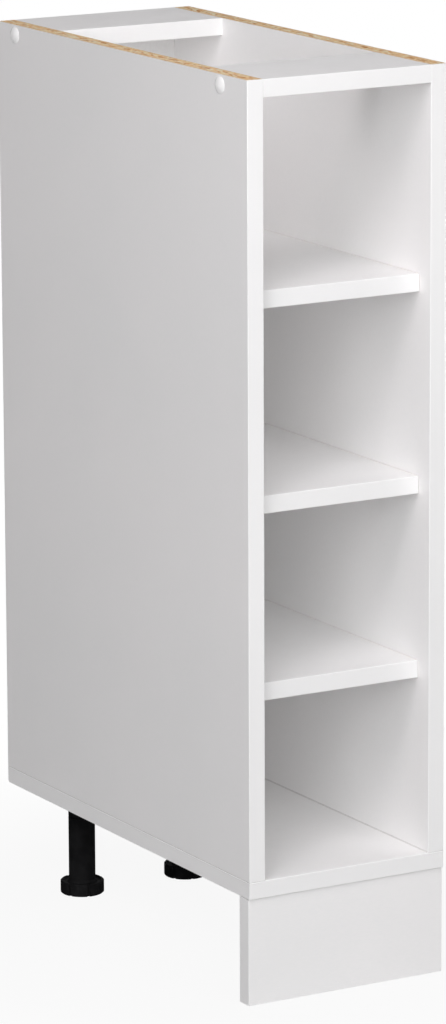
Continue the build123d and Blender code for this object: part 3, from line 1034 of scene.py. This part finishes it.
@dataclass
class Carcass:
    """Sides, bottom, top rails, edge bands, back and the fasteners that hold them."""

    finishes: FinishBook
    sides: tuple[str, ...] = ("left_side_panel", "right_side_panel")
    rails: tuple[str, ...] = ("front_top_rail", "rear_top_rail")
    bands: tuple[str, ...] = (
        "left_side_front_edging",
        "right_side_front_edging",
        "front_rail_edging",
        "rear_rail_edging",
        "bottom_panel_edging",
    )
    joint_gap: float = 0.7 * MM
    joint_recess: float = 0.12 * MM
    joint_depth: float = 0.7 * MM
    lip_radius: float = 0.5 * MM
    lip_sink: float = 0.26 * MM
    seam_reach: float = 1.1 * MM
    seam_hollow: float = 0.28 * MM

    def dress(self) -> None:
        """Give every board, band and fastener of the carcass its finish."""
        book = self.finishes
        for name in self.sides:
            coat_board(name, Axis.ACROSS, book.facing(Axis.HEIGHT), book.chipboard(Axis.ACROSS))
        for name in self.rails:
            coat_board(name, Axis.HEIGHT, book.facing(Axis.ACROSS), book.chipboard(Axis.HEIGHT))
        coat_board("bottom_panel", Axis.HEIGHT, book.facing(Axis.DEPTH), book.chipboard(Axis.HEIGHT))
        for name in self.bands:
            coat(name, book.edging())
        self.dress_back()
        coat("screw_cover_caps", book.cap())
        for name in ("rail_screws", "bottom_screws", "back_panel_nails"):
            coat(name, book.zinc())
        for name in ("rail_dowels", "bottom_dowels"):
            coat(name, book.beech())
        self.foot_joints()
        self.floor_seams()

    def dress_back(self) -> None:
        """Lacquer the back's inner face and edges, and leave its outer face and nail holes bare."""
        mesh = fill_slots("back_panel", self.finishes.back_inside(), self.finishes.back_outside())
        low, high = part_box("back_panel")
        for polygon in mesh.polygons:
            middle = polygon.center
            to_edge = min(middle.x - low.x, high.x - middle.x, middle.z - low.z, high.z - middle.z)
            lacquered = min(to_edge, middle.y - low.y) < FACE_REACH
            polygon.material_index = 0 if lacquered else 1
        LOG.info("back_panel: lacquered inside, bare outside")

    def wrap_corner(self, shape: Shape, section: Sequence[Spot], run: FootRun) -> None:
        """Run a section along the foot of both side panels.

        Args:
            shape: mesh that gets the runs.
            section: points of the section, outwards from the face and up from the foot.
            run: faces that the section follows.
        """
        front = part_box("bottom_panel_edging")[0].y
        for name, side in zip(self.sides, SIDE_SIGNS):
            low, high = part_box(name)
            outer, inner = (low.x, high.x) if side < 0.0 else (high.x, low.x)
            route = [(outer, high.y, side, 0.0), (outer, front, side, -1.0), (inner, front, 0.0, -1.0)]
            sections = []
            for x, y, to_side, to_front in route[run.value]:
                sections.append([(x + to_side * out, y + to_front * out, low.z + up) for out, up in section])
            sweep(shape, sections)

    def foot_joints(self) -> None:
        """Draw the joint at the foot of each side panel: a grey strip of painted shade in the gap over the
        band's fine lip.
        """
        half_round = [math.radians(angle) for angle in range(-90, 91, 20)]
        middle = -self.joint_gap - self.lip_radius
        radius, sink = self.lip_radius, self.lip_sink
        lips = bmesh.new()
        bulge = [(radius * math.cos(turn) - sink, middle + radius * math.sin(turn)) for turn in half_round]
        self.wrap_corner(lips, bulge, FootRun.BOTH)
        new_piece("bottom_band_lips", lips, self.finishes.edging(), "carcass")
        near, far = -self.joint_recess, -self.joint_depth
        section = [(far, -self.joint_gap), (near, -self.joint_gap), (near, 0.0), (far, 0.0)]
        # The gap strips are painted shade: dark grey on the sides, paler on the front faces where more light
        # falls.
        runs = {
            "side_foot_painted_shade": (FootRun.OUTER, self.finishes.gap()),
            "front_foot_painted_shade": (FootRun.FRONT, self.finishes.front_gap()),
        }
        for name, (run, finish) in runs.items():
            gaps = bmesh.new()
            self.wrap_corner(gaps, section, run)
            new_piece(name, gaps, finish, "carcass")

    def floor_seams(self) -> None:
        """Lay the fine seams where the sides stand on the bottom panel: hollow strips whose grey is painted
        corner shade.
        """
        shape = bmesh.new()
        reach, hollow = self.seam_reach, self.seam_hollow
        # The seam's grey is painted shade for the inner corner; the hollow in its section adds some real
        # shade.
        section = [(0.0, 0.0), (reach, 0.0), (hollow, hollow), (0.0, reach)]
        for name, side in zip(self.sides, SIDE_SIGNS):
            low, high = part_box(name)
            inner = high.x if side < 0.0 else low.x
            ends = (low.y, high.y)
            sweep(shape, [[(inner - side * inward, y, low.z + up) for inward, up in section] for y in ends])
        new_piece("bottom_panel_painted_seam_shade", shape, self.finishes.seam(), "carcass")


@dataclass
class Shelves:
    """Three loose shelves on plug-in supports."""

    finishes: FinishBook
    levels: tuple[str, ...] = ("upper", "middle", "lower")

    def dress(self) -> None:
        """Give each shelf, its band and its supports their finishes."""
        book = self.finishes
        for level in self.levels:
            coat_board(f"shelf_{level}", Axis.HEIGHT, book.facing(Axis.ACROSS), book.chipboard(Axis.HEIGHT))
            coat(f"shelf_{level}_edging", book.edging())
            coat(f"shelf_{level}_supports", book.nickel())


@dataclass
class Legs:
    """Four screw-adjusted legs, with the threads, mould lines and screw heads that the solids leave out.

    Sizes are in metres and angles in radians.
    """

    finishes: FinishBook
    places: dict[str, Spot]
    root_sink: float = 0.1 * MM
    thread_radius: float = 8.5 * MM
    thread_rise: float = 0.22 * MM
    thread_pitch: float = 5.0 * MM
    thread_width: float = 2.4 * MM
    thread_crest: float = 0.45
    thread_low: float = 22.0 * MM
    thread_high: float = 73.0 * MM
    thread_steps: int = 40
    thread_fade_turns: float = 0.5
    tube_radius: float = 12.5 * MM
    line_rise: float = 0.12 * MM
    line_width: float = 0.5 * MM
    line_crest: float = 0.4
    line_low: float = 15.5 * MM
    line_high: float = 73.2 * MM
    flange_face: float = 94.0 * MM
    screw_radius: float = 20.5 * MM
    screws: int = 4
    first_screw: float = math.radians(45.0)
    twist_per_leg: float = 0.7
    twist_per_screw: float = 1.1

    def dress(self) -> None:
        """Give sockets, tubes and feet their finish and add the moulded detail."""
        black = self.finishes.leg()
        for leg, (x, y) in self.places.items():
            for piece in ("socket", "tube", "foot"):
                coat(f"leg_{leg}_{piece}", black)
            to_leg = Matrix.Translation((x, y, 0.0))
            thread = self.thread()
            thread.transform(to_leg)
            new_piece(f"spindle_thread_{leg}", thread, black, "carcass")
            lines = self.parting_lines()
            lines.transform(to_leg)
            new_piece(f"tube_parting_lines_{leg}", lines, black, f"leg_{leg}")
        self.flange_screws()

    def thread(self) -> Shape:
        """Wind the spindle's raised thread, which fades out at each end.

        Returns:
            The thread about the leg's own axis.
        """
        count = int((self.thread_high - self.thread_low) / self.thread_pitch * self.thread_steps)
        half = self.thread_width / 2.0
        top = half * self.thread_crest
        root = self.thread_radius - self.root_sink
        sections = []
        for step in range(count + 1):
            turns = step / self.thread_steps
            turns_left = (count - step) / self.thread_steps
            angle = 2.0 * math.pi * turns
            height = self.thread_low + self.thread_pitch * turns
            fade = min(1.0, turns / self.thread_fade_turns, turns_left / self.thread_fade_turns)
            crest = self.thread_radius + self.thread_rise * fade
            section = [(root, -half), (crest, -top), (crest, top), (root, half)]
            sections.append([(r * math.cos(angle), r * math.sin(angle), height + z) for r, z in section])
        shape = bmesh.new()
        sweep(shape, sections)
        return shape

    def parting_lines(self) -> Shape:
        """Draw the two fine lines that the halves of the mould leave down the tube.

        Returns:
            Both lines about the leg's own axis.
        """
        shape = bmesh.new()
        half = self.line_width / 2.0
        top = half * self.line_crest
        root = self.tube_radius - self.root_sink
        crest = self.tube_radius + self.line_rise
        section = [(root, -half), (crest, -top), (crest, top), (root, half)]
        ends = (self.line_low, self.line_high)
        for side in (1.0, -1.0):
            sweep(shape, [[(side * r, side * s, height) for r, s in section] for height in ends])
        return shape

    def flange_screws(self) -> None:
        """Put cross-headed screws in the place of the plain ones that hold the sockets."""
        shape = bmesh.new()
        screw = CrossHeadScrew()
        for order, (x, y) in enumerate(self.places.values()):
            for number in range(self.screws):
                turn = self.first_screw + 2.0 * math.pi / self.screws * number
                out = Vector((math.cos(turn), math.sin(turn), 0.0)) * self.screw_radius
                spot = Matrix.Translation(Vector((x, y, self.flange_face)) + out)
                twist = self.twist_per_leg * order + self.twist_per_screw * number
                screw.draw(shape, spot @ Matrix.Rotation(twist, 4, "Z"))
        piece = new_piece("socket_cross_head_screws", shape, self.finishes.zinc(), "carcass")
        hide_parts("leg_socket_screws")


@dataclass
class Plinth:
    """Plinth board, its end bands, the clips on its rear face and their screws.

    Sizes are in metres and angles in radians.
    """

    finishes: FinishBook
    leg_places: dict[str, Spot]
    clip_face: float = -205.5 * MM
    clip_height: float = 50.0 * MM
    screw_spacing: float = 37.0 * MM
    first_twist: float = 0.5
    twist_per_screw: float = 0.9

    def dress(self) -> None:
        """Give the plinth its finishes and its clip screws their heads."""
        book = self.finishes
        coat_board("plinth_panel", Axis.DEPTH, book.facing(Axis.ACROSS), book.edging())
        coat("plinth_end_edging", book.edging())
        for side in ("left", "right"):
            coat(f"plinth_clip_{side}", book.clip())
        shape = bmesh.new()
        screw = CrossHeadScrew()
        into_board = Matrix.Rotation(math.pi / 2.0, 4, "X")
        for side in ("left", "right"):
            middle = self.leg_places[f"front_{side}"][0]
            for number, offset in enumerate((-self.screw_spacing / 2.0, self.screw_spacing / 2.0)):
                spot = Matrix.Translation((middle + offset, self.clip_face, self.clip_height))
                twist = Matrix.Rotation(self.first_twist + self.twist_per_screw * number, 4, "Z")
                screw.draw(shape, spot @ into_board @ twist)
        piece = new_piece("clip_cross_head_screws", shape, book.zinc(), "plinth")
        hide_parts("plinth_clip_screws")


@dataclass(frozen=True)
class Lamp:
    """One soft studio lamp."""

    name: str
    place: Point
    aim: Point
    width: float
    height: float
    watts: float
    tint: Point = (1.0, 1.0, 1.0)

    def hang(self) -> None:
        """Hang the lamp and point it at its aim."""
        light = bpy.data.lights.new(self.name, "AREA")
        light.shape = "RECTANGLE"
        light.size = self.width
        light.size_y = self.height
        light.energy = self.watts
        light.color = self.tint
        lamp = bpy.data.objects.new(self.name, light)
        lamp.location = self.place
        beam = Vector(self.aim) - Vector(self.place)
        lamp.rotation_euler = beam.to_track_quat("-Z", "Y").to_euler()
        lamp.visible_camera = False
        bpy.context.scene.collection.objects.link(lamp)


@dataclass
class Studio:
    """Pale floor, white surroundings, soft lamps and the camera, whose angles are in degrees."""

    floor_radius: float = 18.0
    floor_rings: tuple[float, ...] = (0.02, 0.06, 0.2, 1.0)
    floor_sides: int = 72
    floor_colour: Colour = paint(184, 184, 184)
    floor_rough: float = 0.9
    surroundings: float = 0.04
    diffuse_bounces: int = 12
    shadow_share: float = 0.08
    shadow_near: float = 0.2
    shadow_far: float = 0.75
    lamps: tuple[Lamp, ...] = (
        Lamp("side_lamp", (-1.9, -2.6, 1.6), (0.0, 0.0, 0.45), 1.8, 1.8, 45.0),
        Lamp("front_lamp", (0.3, -3.0, 1.2), (0.0, 0.0, 0.45), 2.4, 2.0, 22.5),
        Lamp("high_lamp", (0.0, -1.6, 3.0), (0.0, 0.0, 0.45), 1.8, 1.8, 16.5, WARM_WHITE),
        Lamp("high_side_lamp", (-1.7, -1.5, 2.8), (0.0, 0.0, 0.45), 1.2, 1.2, 13.5, WARM_WHITE),
        Lamp("near_side_lamp", (-1.6, -0.8, 2.0), (-0.1, 0.0, 0.6), 1.0, 1.0, 9.8, WARM_WHITE),
        Lamp("rear_lamp", (1.4, 2.9, 0.4), (0.0, 0.0, 0.4), 1.8, 0.7, 40.0),
        Lamp("right_lamp", (2.8, 0.5, 0.4), (0.1, 0.0, 0.4), 1.8, 0.7, 26.0),
    )
    camera_place: Point = (-2.3940, -4.1561, 1.4720)
    camera_turn: float = 30.0
    camera_dip: float = 12.702
    camera_roll: float = -0.245
    camera_lens: float = 190.68
    camera_reach: float = 60.0

    def build(self) -> None:
        """Set up the whole studio."""
        self.lay_floor()
        self.light_surroundings()
        for lamp in self.lamps:
            lamp.hang()
        self.set_camera()
        bpy.context.scene.view_settings.view_transform = "Standard"
        bpy.context.scene.cycles.diffuse_bounces = self.diffuse_bounces

    @staticmethod
    def seen_directly(graph: Graph) -> Socket:
        """Tell the rays that show the surroundings from those that light the object.

        Args:
            graph: the nodes of the floor or the world.

        Returns:
            A socket that is 1 for rays from the camera, a mirror or glass, and 0 for light on the object.
        """
        path = graph.add("LightPath")
        seen = graph.calculate("ADD", path.outputs["Is Camera Ray"], path.outputs["Is Glossy Ray"])
        return graph.calculate("ADD", seen, path.outputs["Is Transmission Ray"], clamp=True)

    def floor_material(self) -> Material:
        """Make the floor white where it is seen, with a soft shadow round the unit, and clear from below.

        Returns:
            The floor's material.
        """
        material = bpy.data.materials.new("studio_floor")
        material.use_nodes = True
        graph = Graph(material.node_tree)
        matt = graph.add("BsdfPrincipled")
        matt.inputs["Base Color"].default_value = self.floor_colour
        matt.inputs["Roughness"].default_value = self.floor_rough
        matt.inputs["Specular IOR Level"].default_value = 0.0
        away = graph.add("VectorMath", operation="LENGTH")
        graph.feed(away.inputs[0], graph.point())
        near_white = 1.0 - self.shadow_share
        white = graph.spread(away.outputs["Value"], self.shadow_near, self.shadow_far, near_white, 1.0)
        mixed = graph.add("MixShader")
        graph.feed(mixed.inputs[0], graph.calculate("MULTIPLY", white, self.seen_directly(graph)))
        graph.feed(mixed.inputs[1], matt.outputs[0])
        graph.feed(mixed.inputs[2], graph.add("Emission").outputs[0])
        below = graph.add("MixShader")
        graph.feed(below.inputs[0], graph.add("NewGeometry").outputs["Backfacing"])
        graph.feed(below.inputs[1], mixed.outputs[0])
        graph.feed(below.inputs[2], graph.add("BsdfTransparent").outputs[0])
        graph.feed(graph.add("OutputMaterial").inputs["Surface"], below.outputs[0])
        return material

    def lay_floor(self) -> None:
        """Lay a round floor under the unit."""
        shape = bmesh.new()
        rings = []
        for share in self.floor_rings:
            rings.append(ring_of(shape, self.floor_radius * share, 0.0, self.floor_sides))
        shape.faces.new(rings[0])
        skin_rings(shape, rings)
        bmesh.ops.recalc_face_normals(shape, faces=shape.faces)
        mesh = bpy.data.meshes.new("studio_floor")
        shape.to_mesh(mesh)
        shape.free()
        if mesh.polygons[0].normal.z < 0.0:
            mesh.flip_normals()
        mesh.materials.append(self.floor_material())
        floor = bpy.data.objects.new("studio_floor", mesh)
        bpy.context.scene.collection.objects.link(floor)

    def light_surroundings(self) -> None:
        """Light the unit softly from all round, against plain white."""
        world = bpy.data.worlds.new("studio_surroundings")
        world.use_nodes = True
        graph = Graph(world.node_tree)
        sky = graph.add("Background")
        strength = graph.add("MapRange")
        graph.feed(strength.inputs[0], self.seen_directly(graph))
        strength.inputs[3].default_value = self.surroundings
        strength.inputs[4].default_value = 1.0
        graph.feed(sky.inputs["Strength"], strength.outputs[0])
        sky.inputs["Color"].default_value = (1.0, 1.0, 1.0, 1.0)
        graph.feed(graph.add("OutputWorld").inputs["Surface"], sky.outputs[0])
        bpy.context.scene.world = world

    def set_camera(self) -> None:
        """Set the camera at the photograph's place, angle and lens."""
        angles = (self.camera_turn, self.camera_dip, self.camera_roll)
        turn, dip, roll = (math.radians(angle) for angle in angles)
        ahead = Vector((math.sin(turn) * math.cos(dip), math.cos(turn) * math.cos(dip), -math.sin(dip)))
        level = Vector((math.cos(turn), -math.sin(turn), 0.0))
        up = level.cross(ahead)
        right = math.cos(roll) * level + math.sin(roll) * up
        top = math.cos(roll) * up - math.sin(roll) * level
        data = bpy.data.cameras.new("photo_camera")
        data.lens = self.camera_lens
        data.clip_end = self.camera_reach
        camera = bpy.data.objects.new("photo_camera", data)
        columns = Matrix((right, top, -ahead)).transposed().to_4x4()
        camera.matrix_world = Matrix.Translation(self.camera_place) @ columns
        bpy.context.scene.collection.objects.link(camera)
        bpy.context.scene.camera = camera


def leg_places() -> dict[str, Spot]:
    """Find where the legs stand.

    Returns:
        Each leg's name and the place of its axis on the floor.
    """
    places = {}
    for row in ("front", "rear"):
        for side in ("left", "right"):
            low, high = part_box(f"leg_{row}_{side}_socket")
            places[f"{row}_{side}"] = ((low.x + high.x) / 2.0, (low.y + high.y) / 2.0)
    return places


def main() -> None:
    """Dress every sub-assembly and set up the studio."""
    logging.basicConfig(level=logging.INFO, format="%(message)s")
    finishes = FinishBook()
    places = leg_places()
    Carcass(finishes).dress()
    Shelves(finishes).dress()
    Legs(finishes, places).dress()
    Plinth(finishes, places).dress()
    Studio().build()


if __name__ == "__main__":
    main()
